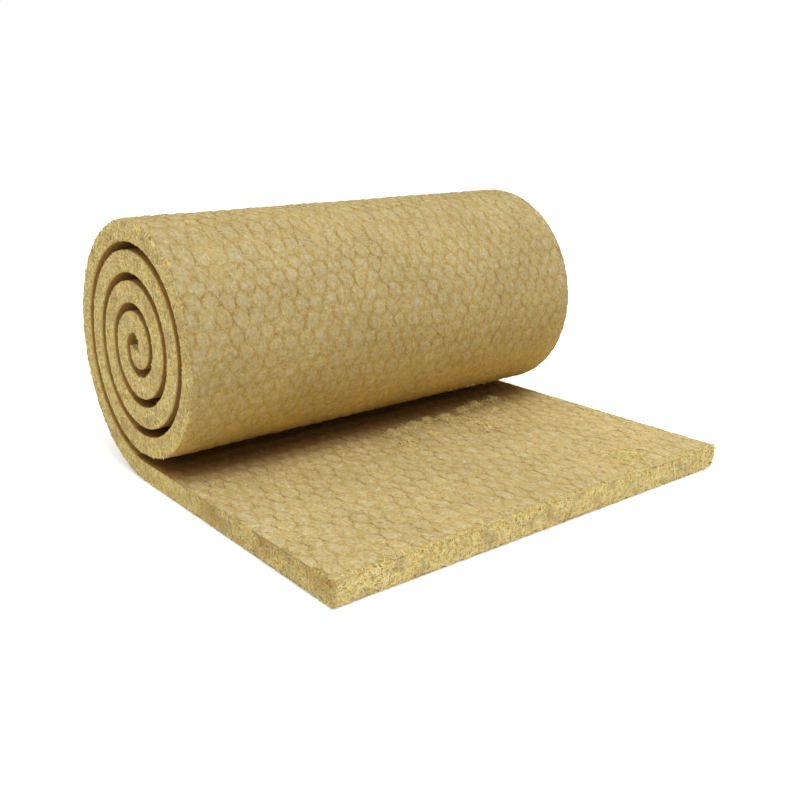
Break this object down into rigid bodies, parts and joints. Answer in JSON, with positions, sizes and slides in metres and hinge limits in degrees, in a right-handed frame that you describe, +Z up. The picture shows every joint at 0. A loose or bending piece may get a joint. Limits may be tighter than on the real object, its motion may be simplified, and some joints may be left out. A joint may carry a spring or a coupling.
{
  "type": "mineral wool insulation roll",
  "caption": "Unfaced mineral wool mat, mostly wound into an open spiral roll, with its free end laid out flat on the floor.",
  "frame": {"origin": "middle of the footprint, on the floor the mat lies on", "axes": "+Y along the roll's axis and the mat's width, +X towards the free end of the flat run, +Z up"},
  "size_m": [0.93, 1, 0.535],
  "materials": {
    "mineral_wool": "matt felted fibre, tan, with rounded dimples on the faces and loose fibres on the cut edges"
  },
  "bodies": {
    "root": {"mineral_wool_mat": "mineral_wool"}
  },
  "joints": []
}
